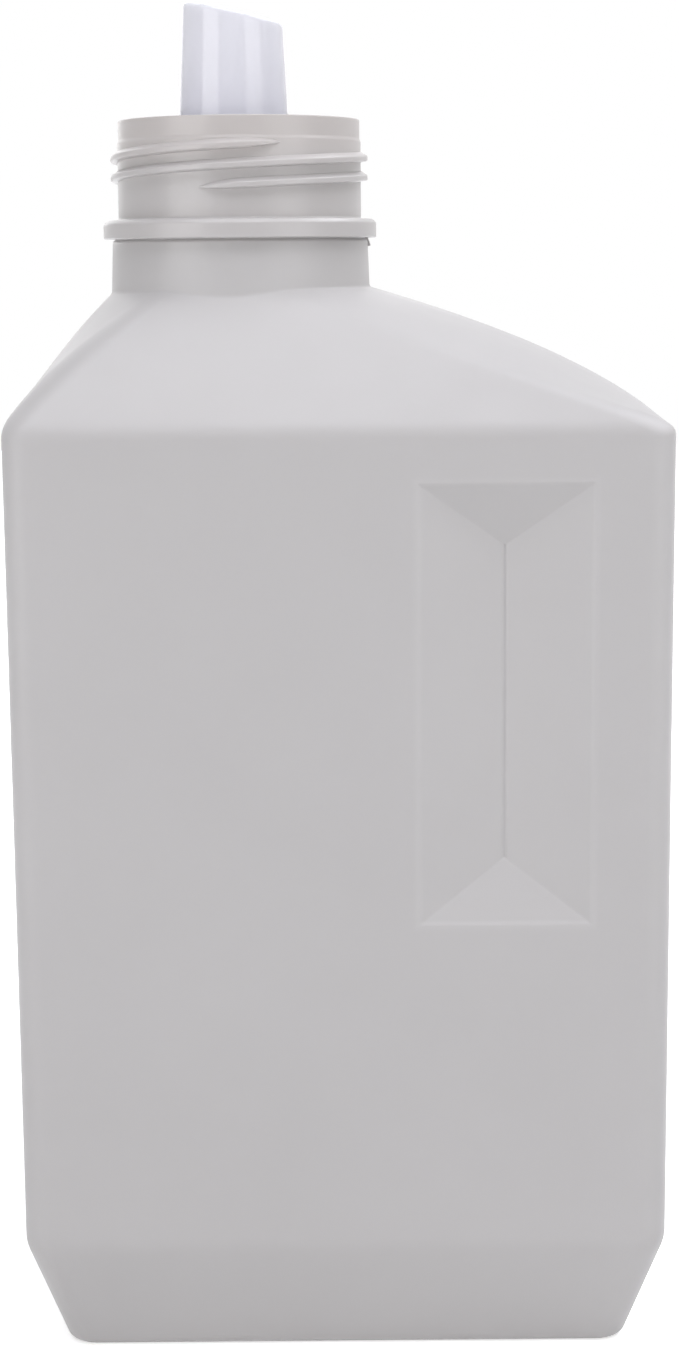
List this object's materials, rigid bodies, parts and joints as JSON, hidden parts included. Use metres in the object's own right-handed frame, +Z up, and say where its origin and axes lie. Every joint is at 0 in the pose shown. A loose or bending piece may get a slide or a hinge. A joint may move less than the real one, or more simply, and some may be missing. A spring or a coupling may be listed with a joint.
{
  "type": "laundry detergent dispenser",
  "caption": "Oblong blow-moulded detergent bottle with a tapered foot, hipped shoulder, pressed-in grip recess and offset threaded neck that holds an oblique pour spout.",
  "frame": {"origin": "middle of the base, on the surface that the bottle stands on", "axes": "+Z up, +X towards the grip side, away from the neck, +Y from the front to the back"},
  "size_m": [0.1112, 0.076, 0.233],
  "materials": {
    "bottle_plastic": "matte warm-grey blown polyethylene",
    "spout_plastic": "glossy milky white moulded polyethylene"
  },
  "bodies": {
    "root": {"bottle": "bottle_plastic", "pour_spout": "spout_plastic"}
  },
  "joints": []
}
